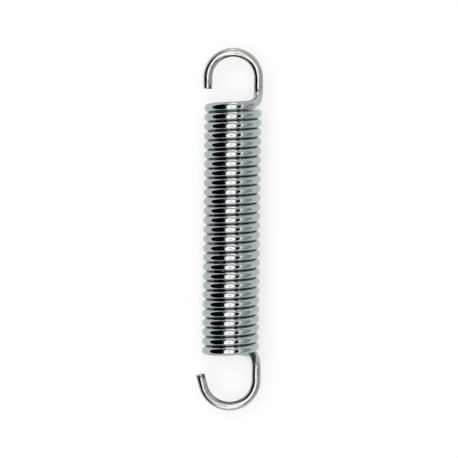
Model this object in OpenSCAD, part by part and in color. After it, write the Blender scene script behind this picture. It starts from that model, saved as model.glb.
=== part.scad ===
// Extension spring: one round wire, close wound to the right, with a hook bent at each end.
// It lies on its side: the coil's axis runs along Y, the hooks lie level, and the upper hook is at +Y.

/* [Wire] */
// Diameter of the wire
wire_d = 4; // [3:0.1:4.5]
// Chamfer round the cut ends of the wire
end_chamfer = 0.3; // [0.1:0.1:0.8]

/* [Coil] */
// Outside diameter of the coil
coil_od = 25; // [20:0.5:40]
// Number of turns between the two bends that lead into the hooks
turns = 27; // [4:1:30]
// Air between neighbouring turns of the unloaded spring
turn_gap = 0.05; // [0.04:0.01:1]

/* [Upper hook] */
// Radius of the gentle rise by which the last turn leaves the coil, at the middle of the wire
upper_rise_r = 20; // [5:1:30]
// Radius of the bend that follows and ends in the leg
upper_bend_r = 7; // [3:0.1:9]
// How far the leg stands outside the middle of the coil's wire
upper_out = 0.4; // [0:0.05:2]
// Straight leg between the bend and the round of the hook
upper_leg = 3.7; // [1:0.1:20]
// How much wider than the coil the round of the hook is, measured on the radius
upper_flare = 0.45; // [0:0.05:3]
// Angle that the round of the hook turns through
upper_sweep = 180; // [150:1:190]
// Straight end of the wire past the round
upper_tail = 4.9; // [1:0.1:7]

/* [Lower hook] */
// Radius of the gentle rise by which the first turn leaves the coil, at the middle of the wire
lower_rise_r = 10; // [5:1:30]
// Radius of the bend that follows and ends in the leg
lower_bend_r = 7; // [3:0.1:9]
// How far the leg stands outside the middle of the coil's wire
lower_out = 0.9; // [0:0.05:2]
// Straight leg between the bend and the round of the hook
lower_leg = 3.9; // [1:0.1:20]
// How much wider than the coil the round of the hook is, measured on the radius
lower_flare = 1.2; // [0:0.05:3]
// Angle that the round of the hook turns through, short of a half turn, so that its end stands out
lower_sweep = 164; // [150:1:190]
// Straight end of the wire past the round
lower_tail = 5.5; // [1:0.1:7]

/* [Smoothness] */
// Flats round the wire, an odd number of pairs, so that neighbouring turns face each other flat to flat
wire_sides = 10; // [6:4:10]
// Flats round each turn of the coil, a multiple of four so that the spring rests on one of them
turn_steps = 20; // [12:4:20]
// Flats along each rise out of the coil
rise_steps = 4; // [2:1:8]
// Flats round each bend
bend_steps = 6; // [3:1:8]
// Angle of each flat round a hook
hook_step = 15; // [10:5:30]

/* [Hidden] */

wire_r = wire_d / 2;
coil_r = (coil_od - wire_d) / 2;
pitch = wire_d + turn_gap;

// The wire's polygon has the area of the true circle, so that the spring has its true weight
ring_r = wire_r * sqrt(2 * PI / (wire_sides * sin(360 / wire_sides)));
// The middle of each flat of a turn touches the coil's true outside
coil_path_r = coil_od / 2 / cos(180 / turn_steps) - ring_r;

// The angles at which the wire passes the right side of the coil, where the two hooks leave it
upper_pass = 0;
lower_pass = -360 * turns;

// The wire's slope along the coil, and where the rise out of the coil turns into the bend
coil_slope = atan(pitch / (2 * PI * coil_r));
rise_slope = 25;

function unit(v) = v / norm(v);

// A stop is one place along the wire: its middle, its direction, and where its outer side faces
function stop(middle, direction, outward) = [
    middle,
    direction,
    unit(outward - (outward * direction) * direction)
];

// A stop on a cylinder about Y: a is the angle, which grows as the wire climbs towards the upper pass
function round_axis(a, y, slope, r) = stop(
    [r * cos(a), y, -r * sin(a)],
    [-cos(slope) * sin(a), sin(slope), -cos(slope) * cos(a)],
    [cos(a), 0, -sin(a)]
);

// The height of the wire's middle on the coil, with half of the turns on either side of the origin
function coil_y(a) = pitch * (a / 360 + turns / 2);

// How far along the turn a slope of the rise or the bend is from the leg, and how far below its end
function back(slope, rise_r, bend_r) =
    slope > rise_slope
        ? bend_r * (1 - sin(slope))
        : bend_r * (1 - sin(rise_slope)) + rise_r * (sin(rise_slope) - sin(slope));
function below(slope, rise_r, bend_r) =
    slope > rise_slope
        ? bend_r * cos(slope)
        : bend_r * cos(rise_slope) + rise_r * (cos(slope) - cos(rise_slope));

// The angle about the axis that the rise and the bend take
function lead(rise_r, bend_r) = back(coil_slope, rise_r, bend_r) / coil_r * 180 / PI;

// The rise and the bend, round the coil's axis and up into the direction of the leg
function bend_stops(rise_r, bend_r, out) =
    let (
        whole = back(coil_slope, rise_r, bend_r),
        end_y = coil_y(upper_pass - lead(rise_r, bend_r)) + below(coil_slope, rise_r, bend_r),
        rise = [for (i = [0:rise_steps - 1]) coil_slope + (rise_slope - coil_slope) * i / rise_steps],
        bend = [for (i = [0:bend_steps]) rise_slope + (90 - rise_slope) * i / bend_steps]
    )
    [
        for (slope = concat(rise, bend))
            let (reach = back(slope, rise_r, bend_r))
            round_axis(
                upper_pass - reach / coil_r * 180 / PI,
                end_y - below(slope, rise_r, bend_r),
                slope,
                coil_r + out * (1 - reach / whole)
            )
    ];

// The round of the hook, in the level plane through the axis
function round_stops(middle, r, sweep) = [
    for (a = concat([for (a = [0:hook_step:sweep - hook_step / 2]) a], [sweep]))
        stop(middle + r * [cos(a), sin(a), 0], [-sin(a), cos(a), 0], [cos(a), sin(a), 0])
];

// The straight end past the round, up to its chamfer and with it
function tail_stops(from, tail) = [
    for (reach = [tail - end_chamfer, tail])
        stop(from[0] + reach * from[1], from[1], from[2])
];

// All stops of a hook at the upper end, starting from the coil
function hook_stops(rise_r, bend_r, out, leg, flare, sweep, tail) =
    let (
        bend = bend_stops(rise_r, bend_r, out),
        r = coil_r + flare,
        middle = bend[len(bend) - 1][0] + [-r, leg, 0],
        curve = round_stops(middle, r, sweep),
        tail_end = tail_stops(curve[len(curve) - 1], tail)
    )
    concat(bend, curve, tail_end);

// Half a turn about X brings a hook to the lower end, where the wire then runs the other way
function half_turn(v) = [v.x, -v.y, -v.z];
function at_lower_end(stops) = [
    for (i = [len(stops) - 1:-1:0])
        stop(half_turn(stops[i][0]), -half_turn(stops[i][1]), half_turn(stops[i][2]))
];

upper_stops = hook_stops(
    upper_rise_r, upper_bend_r, upper_out, upper_leg, upper_flare, upper_sweep, upper_tail
);
lower_stops = at_lower_end(hook_stops(
    lower_rise_r, lower_bend_r, lower_out, lower_leg, lower_flare, lower_sweep, lower_tail
));

// Every turn has its flats in the same places, with one flat at the bottom, to rest on
turn_angle = 360 / turn_steps;
coil_start = lower_pass + lead(lower_rise_r, lower_bend_r);
coil_end = upper_pass - lead(upper_rise_r, upper_bend_r);
coil_stops = [
    for (a = [lower_pass + turn_angle / 2:turn_angle:upper_pass])
        if (a > coil_start + turn_angle / 3 && a < coil_end - turn_angle / 3)
            round_axis(a, coil_y(a), coil_slope, coil_path_r)
];

stops = concat(lower_stops, coil_stops, upper_stops);
last = len(stops) - 1;

// The ring of corners round the wire at a stop
function ring(place, r) = [
    for (i = [0:wire_sides - 1])
        let (a = 360 * i / wire_sides)
        place[0] + r * (cos(a) * place[2] + sin(a) * cross(place[1], place[2]))
];

corners = [
    for (i = [0:last])
        each ring(stops[i], i == 0 || i == last ? ring_r - end_chamfer : ring_r)
];

side_faces = [
    for (i = [0:last - 1], k = [0:wire_sides - 1])
        let (
            here = i * wire_sides,
            there = here + wire_sides,
            next = (k + 1) % wire_sides
        )
        each [
            [here + k, there + k, there + next],
            [here + k, there + next, here + next]
        ]
];
first_face = [for (k = [0:wire_sides - 1]) k];
last_face = [for (k = [wire_sides - 1:-1:0]) last * wire_sides + k];

// The origin is at the middle of the underside
function lowest(axis) = min([for (p = corners) p[axis]]);
function highest(axis) = max([for (p = corners) p[axis]]);
to_origin = [
    -(lowest(0) + highest(0)) / 2,
    -(lowest(1) + highest(1)) / 2,
    -lowest(2)
];

// The wire, from the end of the lower hook through all turns to the end of the upper hook
module spring() {
    color("silver")
        translate(to_origin)
            polyhedron(
                points = corners,
                faces = concat(side_faces, [first_face, last_face]),
                convexity = 10
            );
}

spring();
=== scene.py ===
import logging
import math
from dataclasses import dataclass, field
from enum import Enum
from typing import Iterable, Sequence

import bmesh
import bpy
from bmesh.types import BMesh
from mathutils import Matrix, Vector


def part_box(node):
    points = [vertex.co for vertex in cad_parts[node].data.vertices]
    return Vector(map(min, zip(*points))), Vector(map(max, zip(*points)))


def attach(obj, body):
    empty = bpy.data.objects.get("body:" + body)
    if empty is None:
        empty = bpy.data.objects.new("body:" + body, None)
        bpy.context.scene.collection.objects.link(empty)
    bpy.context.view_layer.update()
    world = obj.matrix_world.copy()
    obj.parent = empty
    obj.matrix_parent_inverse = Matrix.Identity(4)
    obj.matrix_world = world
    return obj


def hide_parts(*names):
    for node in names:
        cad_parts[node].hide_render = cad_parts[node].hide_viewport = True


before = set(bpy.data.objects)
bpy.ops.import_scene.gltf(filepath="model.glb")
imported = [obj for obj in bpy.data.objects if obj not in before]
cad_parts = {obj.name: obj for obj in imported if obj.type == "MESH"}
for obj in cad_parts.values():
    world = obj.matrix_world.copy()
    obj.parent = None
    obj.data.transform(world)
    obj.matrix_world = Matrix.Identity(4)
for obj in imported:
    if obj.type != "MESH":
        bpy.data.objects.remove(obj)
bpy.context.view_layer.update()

MM = 0.001
PHOTO_WIDTH_PX = 458
SENSOR_WIDTH = 36.0
CUT_SLOT = 1
WELD_DISTANCE = 0.002 * MM

Colour = tuple[float, float, float, float]

log = logging.getLogger("extension_spring")


class SeenBy(Enum):
    """Which rays meet a piece of studio equipment."""

    ALL = "all"
    REFLECTIONS = "reflections"


class CardShape(Enum):
    """The outline of a studio card, as its number of corners."""

    OBLONG = 4
    HEXAGON = 6
    OVAL = 64


def add_noise(
    tree: bpy.types.NodeTree, vector: bpy.types.NodeSocket, scale: float, detail: float
) -> bpy.types.Node:
    """Add a noise texture.

    Args:
        tree: The node tree to add it to.
        vector: The coordinates that it follows.
        scale: Its scale.
        detail: Its detail.

    Returns:
        The noise node.
    """
    noise = tree.nodes.new("ShaderNodeTexNoise")
    noise.inputs["Scale"].default_value = scale
    noise.inputs["Detail"].default_value = detail
    tree.links.new(vector, noise.inputs["Vector"])
    return noise


def add_bump(
    tree: bpy.types.NodeTree, height: bpy.types.NodeSocket, distance: float, strength: float = 1.0
) -> bpy.types.Node:
    """Add a bump.

    Args:
        tree: The node tree to add it to.
        height: The pattern that it raises.
        distance: How high the pattern stands at full strength.
        strength: The share of that height.

    Returns:
        The bump node.
    """
    bump = tree.nodes.new("ShaderNodeBump")
    bump.inputs["Strength"].default_value = strength
    bump.inputs["Distance"].default_value = distance
    tree.links.new(height, bump.inputs["Height"])
    return bump


@dataclass(frozen=True)
class BrightZinc:
    """Bright zinc plating on drawn spring wire: a cool mirror, faintly streaked along the wire.

    Beyond hook_start on either side of the coil's middle, the base colour grows neutral and the
    streaks deeper, up to hook_full. The coil's bluer base colour is a painted reflection of its
    neighbouring turns.
    """

    # colour, on the coil, holds a painted reflection: its bluer tint stands in for the turns reflecting
    # each other; hook_colour is the neutral tint of the hooks
    colour: Colour = (0.385, 0.43, 0.445, 1.0)
    hook_colour: Colour = (0.395, 0.418, 0.408, 1.0)
    hook_start: float = 57.0 * MM
    hook_full: float = 66.0 * MM
    roughness: float = 0.05
    haze: float = 0.03
    haze_scale: float = 55.0
    haze_detail: float = 3.0
    haze_range: tuple[float, float] = (0.3, 0.7)
    streaks_round: float = 26.0
    streaks_along: float = 0.35
    streak_detail: float = 4.0
    streak_roughness: float = 0.6
    streak_depth: float = 0.05
    hook_streak_depth: float = 0.26
    grain_scale: float = 900.0
    grain_detail: float = 2.0
    grain_depth: float = 0.012
    full_depth: float = 0.2 * MM

    def material(self, name: str) -> bpy.types.Material:
        """Build the node material.

        Args:
            name: The material's name.

        Returns:
            The material. Its streaks follow the piece's own UV map: U round the wire, V along it.
        """
        made = bpy.data.materials.new(name)
        made.use_nodes = True
        tree = made.node_tree
        shader = tree.nodes["Principled BSDF"]
        shader.inputs["Metallic"].default_value = 1.0
        place = tree.nodes.new("ShaderNodeTexCoord")
        on_hook = self._on_hook(tree, place.outputs["Object"])
        # painted reflection: the base colour runs from the coil's bluer tint to the hooks' neutral one,
        # standing in for the coil's turns reflecting each other
        plating_tint_and_painted_reflection = tree.nodes.new("ShaderNodeValToRGB")
        plating_tint_and_painted_reflection.color_ramp.elements[0].color = self.colour
        plating_tint_and_painted_reflection.color_ramp.elements[1].color = self.hook_colour
        tree.links.new(on_hook, plating_tint_and_painted_reflection.inputs["Fac"])
        tree.links.new(plating_tint_and_painted_reflection.outputs["Color"], shader.inputs["Base Color"])
        drawn = self._streaks(tree, place.outputs["UV"], on_hook)
        grain = add_noise(tree, place.outputs["Object"], self.grain_scale, self.grain_detail)
        plated = add_bump(tree, grain.outputs["Fac"], self.full_depth, self.grain_depth)
        tree.links.new(drawn, plated.inputs["Normal"])
        tree.links.new(plated.outputs["Normal"], shader.inputs["Normal"])
        tree.links.new(self._gloss(tree, place.outputs["Object"]), shader.inputs["Roughness"])
        return made

    def _on_hook(self, tree: bpy.types.NodeTree, place: bpy.types.NodeSocket) -> bpy.types.NodeSocket:
        """Tell the hooks from the coil by how far from its middle they are.

        Args:
            tree: The material's node tree.
            place: The Object coordinates.

        Returns:
            A socket that is 0 on the coil and 1 on both hooks.
        """
        axes = tree.nodes.new("ShaderNodeSeparateXYZ")
        tree.links.new(place, axes.inputs["Vector"])
        endways = tree.nodes.new("ShaderNodeMath")
        endways.operation = "ABSOLUTE"
        tree.links.new(axes.outputs["Y"], endways.inputs[0])
        share = tree.nodes.new("ShaderNodeMapRange")
        share.inputs["From Min"].default_value = self.hook_start
        share.inputs["From Max"].default_value = self.hook_full
        tree.links.new(endways.outputs["Value"], share.inputs["Value"])
        return share.outputs["Result"]

    def _streaks(
        self, tree: bpy.types.NodeTree, wire_uv: bpy.types.NodeSocket, on_hook: bpy.types.NodeSocket
    ) -> bpy.types.NodeSocket:
        """Draw the fine streaks along the wire, deeper on the hooks than on the coil.

        Args:
            tree: The material's node tree.
            wire_uv: The wire's UV map.
            on_hook: 0 on the coil and 1 on the hooks.

        Returns:
            The normal with the streaks in it.
        """
        along_wire = tree.nodes.new("ShaderNodeMapping")
        along_wire.inputs["Scale"].default_value = (self.streaks_round, self.streaks_along, 1.0)
        tree.links.new(wire_uv, along_wire.inputs["Vector"])
        streaks = add_noise(tree, along_wire.outputs["Vector"], 1.0, self.streak_detail)
        streaks.inputs["Roughness"].default_value = self.streak_roughness
        depth = tree.nodes.new("ShaderNodeMapRange")
        depth.inputs["To Min"].default_value = self.streak_depth
        depth.inputs["To Max"].default_value = self.hook_streak_depth
        tree.links.new(on_hook, depth.inputs["Value"])
        drawn = add_bump(tree, streaks.outputs["Fac"], self.full_depth)
        tree.links.new(depth.outputs["Result"], drawn.inputs["Strength"])
        return drawn.outputs["Normal"]

    def _gloss(self, tree: bpy.types.NodeTree, place: bpy.types.NodeSocket) -> bpy.types.NodeSocket:
        """Spread a faint cloudy haze over the mirror.

        Args:
            tree: The material's node tree.
            place: The Object coordinates.

        Returns:
            The roughness.
        """
        clouds = add_noise(tree, place, self.haze_scale, self.haze_detail)
        gloss = tree.nodes.new("ShaderNodeMapRange")
        low, high = self.haze_range
        gloss.inputs["From Min"].default_value = low
        gloss.inputs["From Max"].default_value = high
        gloss.inputs["To Min"].default_value = self.roughness
        gloss.inputs["To Max"].default_value = self.roughness + self.haze
        tree.links.new(clouds.outputs["Fac"], gloss.inputs["Value"])
        return gloss.outputs["Result"]


@dataclass(frozen=True)
class ShearedSteel:
    """The bare steel face where the wire was cut: duller than the plating, with a coarse grain."""

    colour: Colour = (0.40, 0.41, 0.42, 1.0)
    roughness: float = 0.38
    grain_scale: float = 1400.0
    grain_detail: float = 3.0
    grain_depth: float = 0.35
    full_depth: float = 0.1 * MM

    def material(self, name: str) -> bpy.types.Material:
        """Build the node material.

        Args:
            name: The material's name.

        Returns:
            The material, with its grain on Object coordinates.
        """
        made = bpy.data.materials.new(name)
        made.use_nodes = True
        tree = made.node_tree
        shader = tree.nodes["Principled BSDF"]
        shader.inputs["Base Color"].default_value = self.colour
        shader.inputs["Metallic"].default_value = 1.0
        shader.inputs["Roughness"].default_value = self.roughness
        place = tree.nodes.new("ShaderNodeTexCoord")
        grain = add_noise(tree, place.outputs["Object"], self.grain_scale, self.grain_detail)
        bump = add_bump(tree, grain.outputs["Fac"], self.full_depth, self.grain_depth)
        tree.links.new(bump.outputs["Normal"], shader.inputs["Normal"])
        return made


@dataclass(frozen=True)
class Hook:
    """The sizes of one hook, from the coil to the cut end of the wire, in metres and degrees."""

    rise_radius: float
    bend_radius: float
    out: float
    leg: float
    flare: float
    sweep: float
    tail: float


@dataclass
class WireBender:
    """Draws a round wire place by place, as a coiling machine feeds and bends it.

    A place is a matrix at the middle of the wire: its Z axis points along the wire and its Y axis
    to the inside of the coil or hook. The wire is drawn in sections, because operators slow down
    on a long mesh, and the sections are welded together at the end.
    """

    wire_radius: float
    sides: int
    place: Matrix
    fed: float = 0.0
    wire: BMesh = field(default_factory=bmesh.new)

    def follow(self, places: Sequence[Matrix]) -> None:
        """Draw one section of wire.

        Args:
            places: Where each further ring of the wire goes.
        """
        section = bmesh.new()
        bmesh.ops.create_circle(section, segments=self.sides, radius=self.wire_radius, matrix=self.place)
        ahead = self.place.col[2].to_3d() * self.wire_radius
        bmesh.ops.spin(
            section, geom=section.verts[:] + section.edges[:], cent=self.place.translation,
            axis=ahead, dvec=ahead, angle=0.0, steps=len(places), use_merge=False, use_duplicate=False,
        )
        section.verts.ensure_lookup_table()
        lengths = [self.fed]
        last = self.place
        for ring, place in enumerate(places, start=1):
            verts = section.verts[ring * self.sides:(ring + 1) * self.sides]
            drawn = Matrix.Translation(ahead * ring) @ self.place
            bmesh.ops.transform(section, matrix=place @ drawn.inverted(), verts=verts)
            lengths.append(lengths[-1] + (place.translation - last.translation).length)
            last = place
        self._lay_uv(section, lengths)
        self._join(section)
        self.place, self.fed = last, lengths[-1]

    def _lay_uv(self, section: BMesh, lengths: Sequence[float]) -> None:
        """Lay a section's UV map: U runs once round the wire, V is the length along it in wire radii.

        Args:
            section: The section, its vertices numbered ring after ring.
            lengths: The length of wire fed up to each ring.
        """
        uv = section.loops.layers.uv.new("along_wire")
        for face in section.faces:
            spots = [divmod(loop.vert.index, self.sides) for loop in face.loops]
            closes = {0, self.sides - 1} <= {number for _, number in spots}
            for loop, (ring, number) in zip(face.loops, spots):
                round_wire = self.sides if closes and number == 0 else number
                loop[uv].uv = (round_wire / self.sides, lengths[ring] / self.wire_radius)

    def _join(self, section: BMesh) -> None:
        """Add a section to the wire.

        Args:
            section: The section, which is freed.
        """
        carrier = bpy.data.meshes.new("section")
        section.to_mesh(carrier)
        section.free()
        self.wire.from_mesh(carrier)
        bpy.data.meshes.remove(carrier)

    def feed(self, length: float) -> None:
        """Feed a straight stretch.

        Args:
            length: The length of the stretch.
        """
        self.follow([self.place @ Matrix.Translation((0.0, 0.0, length))])

    def turn(self, radius: float, angle: float, steps: int) -> None:
        """Bend the wire inwards round a circle.

        Args:
            radius: The circle's radius.
            angle: The whole angle, in degrees.
            steps: How many rings the turn adds.
        """
        to_middle = Matrix.Translation((0.0, radius, 0.0))
        step = math.radians(angle) / steps
        self.follow([
            self.place @ to_middle @ Matrix.Rotation(-step * ring, 4, "X") @ to_middle.inverted()
            for ring in range(1, steps + 1)
        ])

    def cut(self, chamfer: float) -> None:
        """End the wire in a flat cut face with a small chamfer round it.

        Args:
            chamfer: The chamfer's width.
        """
        face_radius = self.wire_radius - chamfer
        end = bmesh.new()
        bmesh.ops.create_cone(
            end, segments=self.sides, radius1=self.wire_radius, radius2=face_radius, depth=chamfer,
            matrix=self.place @ Matrix.Translation((0.0, 0.0, chamfer / 2)),
        )
        bmesh.ops.create_circle(
            end, segments=self.sides, radius=face_radius, cap_ends=True,
            matrix=self.place @ Matrix.Translation((0.0, 0.0, chamfer)),
        )
        for face in end.faces:
            face.material_index = CUT_SLOT
        self._join(end)

    def welded(self) -> BMesh:
        """Weld the sections into one closed wire.

        Returns:
            The wire.
        """
        bmesh.ops.remove_doubles(self.wire, verts=self.wire.verts, dist=WELD_DISTANCE)
        bmesh.ops.recalc_face_normals(self.wire, faces=self.wire.faces)
        return self.wire


@dataclass
class SpringWire:
    """The spring itself: one wire with a close-wound coil and a hook at each end, in metres."""

    wire_diameter: float = 4.0 * MM
    coil_diameter: float = 25.0 * MM
    turns: int = 27
    turn_gap: float = 0.05 * MM
    chamfer: float = 0.3 * MM
    upper: Hook = Hook(
        rise_radius=20.0 * MM, bend_radius=7.0 * MM, out=0.4 * MM, leg=3.7 * MM, flare=0.45 * MM,
        sweep=180.0, tail=4.9 * MM,
    )
    lower: Hook = Hook(
        rise_radius=10.0 * MM, bend_radius=7.0 * MM, out=0.9 * MM, leg=3.9 * MM, flare=1.2 * MM,
        sweep=164.0, tail=5.5 * MM,
    )
    rise_slope: float = math.radians(25.0)
    sides: int = 32
    rings_a_turn: int = 72
    finish: BrightZinc = BrightZinc()
    cut_finish: ShearedSteel = ShearedSteel()

    @property
    def wire_radius(self) -> float:
        """Half the wire's diameter."""
        return self.wire_diameter / 2

    @property
    def coil_radius(self) -> float:
        """The radius of the coil at the middle of the wire."""
        return (self.coil_diameter - self.wire_diameter) / 2

    @property
    def pitch(self) -> float:
        """How far the wire climbs in a turn."""
        return self.wire_diameter + self.turn_gap

    @property
    def coil_slope(self) -> float:
        """The slope of the wire along the coil, in radians."""
        return math.atan(self.pitch / (2 * math.pi * self.coil_radius))

    def rings(self, degrees: float) -> int:
        """Find how many rings a bend needs.

        Args:
            degrees: The angle that the wire turns through.

        Returns:
            The number of rings.
        """
        return math.ceil(degrees * self.rings_a_turn / 360.0)

    def coil_height(self, angle: float) -> float:
        """Find how high the wire's middle is at an angle on the coil.

        Args:
            angle: The angle about the Y axis in radians, 0 where the upper hook starts.

        Returns:
            The height along Y.
        """
        return self.pitch * (angle / (2 * math.pi) + self.turns / 2)

    def back(self, hook: Hook, slope: float) -> float:
        """Find how far before the leg, along the turn, the wire has a slope.

        Args:
            hook: The hook that the wire rises to.
            slope: The slope in radians.

        Returns:
            The distance.
        """
        bend = hook.bend_radius * (1 - math.sin(max(slope, self.rise_slope)))
        rise = hook.rise_radius * (math.sin(self.rise_slope) - math.sin(min(slope, self.rise_slope)))
        return bend + rise

    def below(self, hook: Hook, slope: float) -> float:
        """Find how far below the end of the bend, along Y, the wire has a slope.

        Args:
            hook: The hook that the wire rises to.
            slope: The slope in radians.

        Returns:
            The distance.
        """
        bend = hook.bend_radius * math.cos(max(slope, self.rise_slope))
        rise = hook.rise_radius * (math.cos(min(slope, self.rise_slope)) - math.cos(self.rise_slope))
        return bend + rise

    def lead(self, hook: Hook) -> float:
        """Find the angle about the coil's axis that a hook's rise and bend take.

        Args:
            hook: The hook.

        Returns:
            The angle in radians.
        """
        return self.back(hook, self.coil_slope) / self.coil_radius

    def on_cylinder(self, angle: float, height: float, slope: float, radius: float) -> Matrix:
        """Find a place of the wire on a cylinder about the Y axis.

        Args:
            angle: The angle about the axis in radians, 0 at the right side, growing up the coil.
            height: The height along Y.
            slope: The slope of the wire in radians.
            radius: The cylinder's radius.

        Returns:
            The place.
        """
        inward = Vector((-math.cos(angle), 0.0, math.sin(angle)))
        heading = Vector((-math.sin(angle), 0.0, -math.cos(angle))) * math.cos(slope)
        heading.y = math.sin(slope)
        place = Matrix((inward.cross(heading), inward, heading)).transposed().to_4x4()
        place.translation = -radius * inward
        place.translation.y = height
        return place

    def on_bend(self, hook: Hook, slope: float) -> Matrix:
        """Find the place of the wire at a slope of the rise or bend at the upper end.

        Args:
            hook: The hook.
            slope: The slope in radians.

        Returns:
            The place.
        """
        back = self.back(hook, slope)
        done = 1.0 - back / self.back(hook, self.coil_slope)
        height = self.coil_height(-self.lead(hook))
        height += self.below(hook, self.coil_slope) - self.below(hook, slope)
        return self.on_cylinder(-back / self.coil_radius, height, slope, self.coil_radius + hook.out * done)

    def bend_hook(self, wire: WireBender, hook: Hook, end: Matrix) -> None:
        """Bend a hook on from the end of the coil: rise, bend, leg, round and tail.

        Args:
            wire: The wire, which ends where the rise starts.
            hook: The hook's sizes.
            end: What brings the upper end's places to this end of the spring.
        """
        slopes = [self.coil_slope, self.rise_slope, math.pi / 2]
        for start, stop in zip(slopes, slopes[1:]):
            count = 2 * self.rings(math.degrees(stop - start))
            steps = [start + (stop - start) * (ring + 1) / count for ring in range(count)]
            wire.follow([end @ self.on_bend(hook, slope) for slope in steps])
        wire.feed(hook.leg)
        wire.turn(self.coil_radius + hook.flare, hook.sweep, self.rings(hook.sweep))
        wire.feed(hook.tail - self.chamfer)
        wire.cut(self.chamfer)

    def wind(self) -> BMesh:
        """Wind the coil and bend both hooks.

        Returns:
            The closed wire, with its axis along Y and the middle of the coil at the origin.
        """
        start = self.lead(self.lower) - 2 * math.pi * self.turns
        finish = -self.lead(self.upper)
        first = self.on_cylinder(start, self.coil_height(start), self.coil_slope, self.coil_radius)
        coil = WireBender(self.wire_radius, self.sides, first)
        step = (finish - start) / (self.turns * self.rings_a_turn)
        for turn in range(self.turns):
            first_ring = turn * self.rings_a_turn + 1
            angles = [start + step * (first_ring + ring) for ring in range(self.rings_a_turn)]
            coil.follow([
                self.on_cylinder(angle, self.coil_height(angle), self.coil_slope, self.coil_radius)
                for angle in angles
            ])
        self.bend_hook(coil, self.upper, Matrix.Identity(4))
        half_turn = Matrix.Rotation(math.pi, 4, "X")
        lower_start = half_turn @ self.on_bend(self.lower, self.coil_slope)
        lower = WireBender(self.wire_radius, self.sides, lower_start, wire=coil.wire)
        self.bend_hook(lower, self.lower, half_turn)
        return coil.welded()

    def build(self) -> bpy.types.Object:
        """Make the dressed piece in place of the CAD node.

        Returns:
            The piece, lying where the CAD node lies.
        """
        mesh = self.wind()
        low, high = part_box("spring")
        xs = [vert.co.x for vert in mesh.verts]
        ys = [vert.co.y for vert in mesh.verts]
        across = (low.x + high.x) / 2 - (min(xs) + max(xs)) / 2
        endways = (low.y + high.y) / 2 - (min(ys) + max(ys)) / 2
        rest = Vector((across, endways, self.coil_diameter / 2))
        bmesh.ops.translate(mesh, verts=mesh.verts, vec=rest)
        data = bpy.data.meshes.new("spring_wire")
        mesh.to_mesh(data)
        mesh.free()
        data.materials.append(self.finish.material("bright_zinc"))
        data.materials.append(self.cut_finish.material("sheared_steel"))
        data.polygons.foreach_set("use_smooth", [face.material_index != CUT_SLOT for face in data.polygons])
        piece = bpy.data.objects.new("spring_wire", data)
        bpy.context.scene.collection.objects.link(piece)
        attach(piece, "root")
        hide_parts("spring")
        return piece


def seen_directly(tree: bpy.types.NodeTree) -> bpy.types.NodeSocket:
    """Add nodes that tell the rays of the camera, reflections and refractions from the others.

    Args:
        tree: The node tree to add them to.

    Returns:
        A socket that is 1 for those rays and 0 for all others.
    """
    ray = tree.nodes.new("ShaderNodeLightPath")
    seen = ray.outputs["Is Camera Ray"]
    for kind in ("Is Glossy Ray", "Is Transmission Ray"):
        either = tree.nodes.new("ShaderNodeMath")
        either.operation = "MAXIMUM"
        tree.links.new(seen, either.inputs[0])
        tree.links.new(ray.outputs[kind], either.inputs[1])
        seen = either.outputs["Value"]
    return seen


@dataclass(frozen=True)
class PlainSurface:
    """A plain matt or glowing surface of the studio."""

    colour: Colour
    glow: float = 0.0

    def material(self, name: str) -> bpy.types.Material:
        """Build the material.

        Args:
            name: The material's name.

        Returns:
            The material, glowing where glow is above 0 and matt otherwise.
        """
        made = bpy.data.materials.new(name)
        made.use_nodes = True
        shader = made.node_tree.nodes["Principled BSDF"]
        shader.inputs["Base Color"].default_value = (0.0, 0.0, 0.0, 1.0) if self.glow else self.colour
        shader.inputs["Roughness"].default_value = 1.0
        shader.inputs["Specular IOR Level"].default_value = 0.0
        shader.inputs["Emission Color"].default_value = self.colour
        shader.inputs["Emission Strength"].default_value = self.glow
        return made


@dataclass(frozen=True)
class PaleFloor:
    """The pale floor: matt, and brightened for the camera so that it meets the white background."""

    half_width: float = 6.0
    albedo: Colour = (0.8, 0.8, 0.8, 1.0)
    whitening: float = 0.6

    def material(self, name: str) -> bpy.types.Material:
        """Build the material.

        Args:
            name: The material's name.

        Returns:
            The material: a matt floor to every ray, and to the camera a mix of that and white.
        """
        made = bpy.data.materials.new(name)
        made.use_nodes = True
        nodes, links = made.node_tree.nodes, made.node_tree.links
        nodes.clear()
        matt = nodes.new("ShaderNodeBsdfDiffuse")
        matt.inputs["Color"].default_value = self.albedo
        white = nodes.new("ShaderNodeEmission")
        white.inputs["Color"].default_value = (1.0, 1.0, 1.0, 1.0)
        share = nodes.new("ShaderNodeMath")
        share.operation = "MULTIPLY"
        share.inputs[1].default_value = self.whitening
        links.new(seen_directly(made.node_tree), share.inputs[0])
        mix = nodes.new("ShaderNodeMixShader")
        links.new(share.outputs["Value"], mix.inputs["Fac"])
        links.new(matt.outputs["BSDF"], mix.inputs[1])
        links.new(white.outputs["Emission"], mix.inputs[2])
        out = nodes.new("ShaderNodeOutputMaterial")
        links.new(mix.outputs["Shader"], out.inputs["Surface"])
        return made


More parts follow.
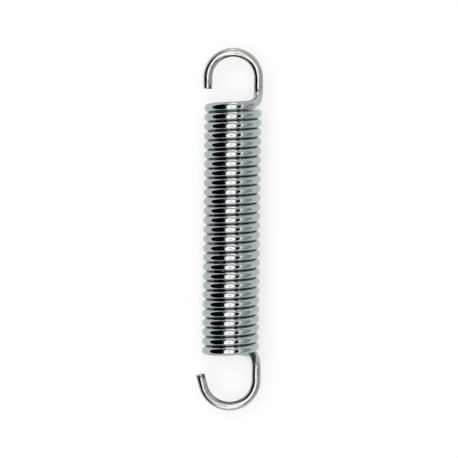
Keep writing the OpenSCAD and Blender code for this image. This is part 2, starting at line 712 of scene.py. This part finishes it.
@dataclass(frozen=True)
class Card:
    """A studio card beside the camera, parallel to the spring, which the polished wire reflects.

    Angles are seen from the spring, in degrees from straight up, and grow towards +X.
    """

    name: str
    shape: CardShape
    start_angle: float
    end_angle: float
    distance: float
    along: float
    half_length: float
    surface: PlainSurface
    turned: float = 0.0

    def place(self, height: float) -> Matrix:
        """Find what brings a card of half-width and half-length 1 to its place and size.

        Args:
            height: The height of the spring's axis.

        Returns:
            The matrix.
        """
        start, end = (
            self.distance * Vector((math.sin(angle), 0.0, math.cos(angle)))
            for angle in (math.radians(self.start_angle), math.radians(self.end_angle))
        )
        half_width = (end - start) / 2
        half_length = Vector((0.0, self.half_length, 0.0))
        facing = half_width.cross(half_length).normalized()
        turn = Matrix.Rotation(math.radians(self.turned), 3, facing)
        placed = (turn @ Matrix((half_width, half_length, facing)).transposed()).to_4x4()
        placed.translation = (start + end) / 2 + Vector((0.0, self.along, height))
        return placed

    def build(self, height: float) -> bpy.types.Object:
        """Make the card.

        Args:
            height: The height of the spring's axis.

        Returns:
            The card, seen only by reflections.
        """
        mesh = bmesh.new()
        if self.shape is CardShape.OBLONG:
            bmesh.ops.create_grid(mesh, x_segments=1, y_segments=1, size=1.0)
        else:
            corner_sideways = Matrix.Rotation(math.pi / 2, 4, "Z")
            bmesh.ops.create_circle(
                mesh, cap_ends=True, segments=self.shape.value, radius=1.0, matrix=corner_sideways
            )
        bmesh.ops.transform(mesh, matrix=self.place(height), verts=mesh.verts)
        return as_stage(mesh, self.name, self.surface.material(self.name), SeenBy.REFLECTIONS)


def as_stage(
    mesh: BMesh, name: str, material: bpy.types.Material, seen_by: SeenBy
) -> bpy.types.Object:
    """Turn a mesh into a piece of the studio.

    Args:
        mesh: The mesh, which is freed.
        name: The object's name.
        material: Its material.
        seen_by: Which rays meet it.

    Returns:
        The object.
    """
    data = bpy.data.meshes.new(name)
    mesh.to_mesh(data)
    mesh.free()
    data.materials.append(material)
    made = bpy.data.objects.new(name, data)
    bpy.context.scene.collection.objects.link(made)
    if seen_by is SeenBy.REFLECTIONS:
        made.visible_camera = False
        made.visible_diffuse = False
        made.visible_shadow = False
    return made


@dataclass(frozen=True)
class OverheadLamp:
    """The soft overhead lamp that lights the floor and casts the soft shadow."""

    width: float = 2.4
    power: float = 60.0
    location: tuple[float, float, float] = (-0.3, 0.25, 2.3)

    def build(self) -> bpy.types.Object:
        """Make the lamp.

        Returns:
            The lamp, which reflections see as the softbox card instead.
        """
        light = bpy.data.lights.new("overhead_lamp", "AREA")
        light.shape = "RECTANGLE"
        light.size = light.size_y = self.width
        light.energy = self.power
        lamp = bpy.data.objects.new("overhead_lamp", light)
        lamp.location = self.location
        lamp.rotation_euler = (-Vector(self.location)).to_track_quat("-Z", "Y").to_euler()
        lamp.visible_camera = False
        lamp.visible_glossy = False
        bpy.context.scene.collection.objects.link(lamp)
        return lamp


@dataclass(frozen=True)
class Studio:
    """A white studio: pale floor, soft overhead light, white surroundings, and cards for the polish.

    Each card's figures are its start and end angle, its distance, how far it is along the spring
    and its half-length, in degrees and metres. One after its surface is how far it is turned.
    """

    floor: PaleFloor = PaleFloor()
    lamp: OverheadLamp = OverheadLamp()
    surroundings: Colour = (1.0, 1.0, 1.0, 1.0)
    soft_fill: float = 0.55
    cards: tuple[Card, ...] = (
        Card(
            "ceiling", CardShape.OBLONG, -27.5, 17.0, 2.9, 12.5, 17.5,
            PlainSurface((1.0, 0.93, 0.88, 1.0), 3.2),
        ),
        Card(
            "softbox_rim", CardShape.HEXAGON, -31.0, 20.0, 2.7, -0.2, 6.0,
            PlainSurface((1.0, 0.88, 0.80, 1.0), 0.7),
        ),
        Card(
            "softbox", CardShape.HEXAGON, -29.0, 18.0, 2.6, -1.4, 3.0,
            PlainSurface((1.0, 0.94, 0.90, 1.0), 2.5),
        ),
        Card(
            "camera_shade", CardShape.OVAL, -11.5, 3.0, 1.6, -0.5, 0.24,
            PlainSurface((1.0, 0.92, 0.86, 1.0), 0.2),
        ),
        Card(
            "left_wall", CardShape.OBLONG, -72.0, -26.0, 1.9, 0.0, 3.0,
            PlainSurface((1.0, 0.93, 0.93, 1.0), 0.26),
        ),
        Card(
            "left_flag", CardShape.OVAL, -94.0, -25.5, 1.2, -0.4, 1.45,
            PlainSurface((0.004, 0.005, 0.006, 1.0)),
        ),
        Card(
            "right_shade", CardShape.OBLONG, 17.0, 34.0, 2.4, 0.0, 4.0,
            PlainSurface((1.0, 0.97, 0.95, 1.0), 0.6),
        ),
        Card(
            "right_gap", CardShape.OBLONG, 19.5, 37.0, 1.5, -0.85, 1.15,
            PlainSurface((0.004, 0.005, 0.006, 1.0)), 6.0,
        ),
        Card(
            "right_strip", CardShape.OBLONG, 34.0, 46.0, 1.6, -1.0, 1.7,
            PlainSurface((1.0, 0.98, 0.96, 1.0), 1.6), 6.0,
        ),
        Card(
            "right_wall", CardShape.OBLONG, 43.0, 76.0, 1.9, 0.0, 3.0,
            PlainSurface((1.0, 1.0, 0.98, 1.0), 0.75),
        ),
        Card(
            "right_shadow", CardShape.OVAL, 55.0, 91.0, 1.4, -0.5, 1.2,
            PlainSurface((1.0, 1.0, 0.97, 1.0), 0.5),
        ),
    )

    def build_world(self) -> None:
        """Set the white surroundings for the camera and polish, and their soft fill for the rest."""
        world = bpy.data.worlds.new("white_studio")
        world.use_nodes = True
        bpy.context.scene.world = world
        nodes, links = world.node_tree.nodes, world.node_tree.links
        nodes.clear()
        fill = nodes.new("ShaderNodeBackground")
        fill.inputs["Color"].default_value = self.surroundings
        fill.inputs["Strength"].default_value = self.soft_fill
        white = nodes.new("ShaderNodeBackground")
        white.inputs["Color"].default_value = self.surroundings
        white.inputs["Strength"].default_value = 1.0
        mix = nodes.new("ShaderNodeMixShader")
        links.new(seen_directly(world.node_tree), mix.inputs["Fac"])
        links.new(fill.outputs["Background"], mix.inputs[1])
        links.new(white.outputs["Background"], mix.inputs[2])
        out = nodes.new("ShaderNodeOutputWorld")
        links.new(mix.outputs["Shader"], out.inputs["Surface"])

    def build_floor(self) -> bpy.types.Object:
        """Make the floor under the spring.

        Returns:
            The floor.
        """
        mesh = bmesh.new()
        bmesh.ops.create_grid(mesh, x_segments=1, y_segments=1, size=self.floor.half_width)
        return as_stage(mesh, "floor", self.floor.material("pale_floor"), SeenBy.ALL)

    def build(self, height: float) -> Iterable[bpy.types.Object]:
        """Set up the whole studio.

        Args:
            height: The height of the spring's axis.

        Returns:
            The studio's objects.
        """
        self.build_world()
        return [self.build_floor(), self.lamp.build(), *(card.build(height) for card in self.cards)]


@dataclass(frozen=True)
class PhotoCamera:
    """The camera of the photograph: far above the spring, almost square to it, with a long lens."""

    distance: float = 0.95
    tilt: float = 3.5
    roll: float = 0.63
    pixels_a_mm: float = 2.303
    aim: tuple[float, float] = (-0.41 * MM, 0.46 * MM)
    clip: tuple[float, float] = (0.05, 50.0)

    def build(self, height: float) -> bpy.types.Object:
        """Make the camera and use it for the scene.

        Args:
            height: The height of the spring's axis, which the photograph is scaled at.

        Returns:
            The camera.
        """
        width = PHOTO_WIDTH_PX / self.pixels_a_mm * MM
        data = bpy.data.cameras.new("photo_camera")
        data.sensor_width = SENSOR_WIDTH
        data.lens = SENSOR_WIDTH * self.distance / width
        data.clip_start, data.clip_end = self.clip
        camera = bpy.data.objects.new("photo_camera", data)
        target = Vector((*self.aim, height))
        tilt = math.radians(self.tilt)
        away = Vector((0.0, math.sin(tilt), math.cos(tilt)))
        up = Matrix.Rotation(math.radians(self.roll), 3, away) @ Vector((0.0, 1.0, 0.0))
        side = up.cross(away).normalized()
        up = away.cross(side)
        turned = Matrix((side, up, away)).transposed().to_4x4()
        camera.matrix_world = Matrix.Translation(target + away * self.distance) @ turned
        bpy.context.scene.collection.objects.link(camera)
        bpy.context.scene.camera = camera
        return camera


def main() -> None:
    """Build the spring, then the studio and the camera round it."""
    logging.basicConfig(level=logging.INFO, format="%(name)s: %(message)s")
    bpy.context.scene.view_settings.view_transform = "Standard"
    spring = SpringWire()
    piece = spring.build()
    log.info("%s has %d faces", piece.name, len(piece.data.polygons))
    axis_height = spring.coil_diameter / 2
    camera = PhotoCamera().build(axis_height)
    log.info("%s has a lens of %.0f mm", camera.name, camera.data.lens)
    for prop in Studio().build(axis_height):
        log.info("studio: %s", prop.name)


if __name__ == "__main__":
    main()
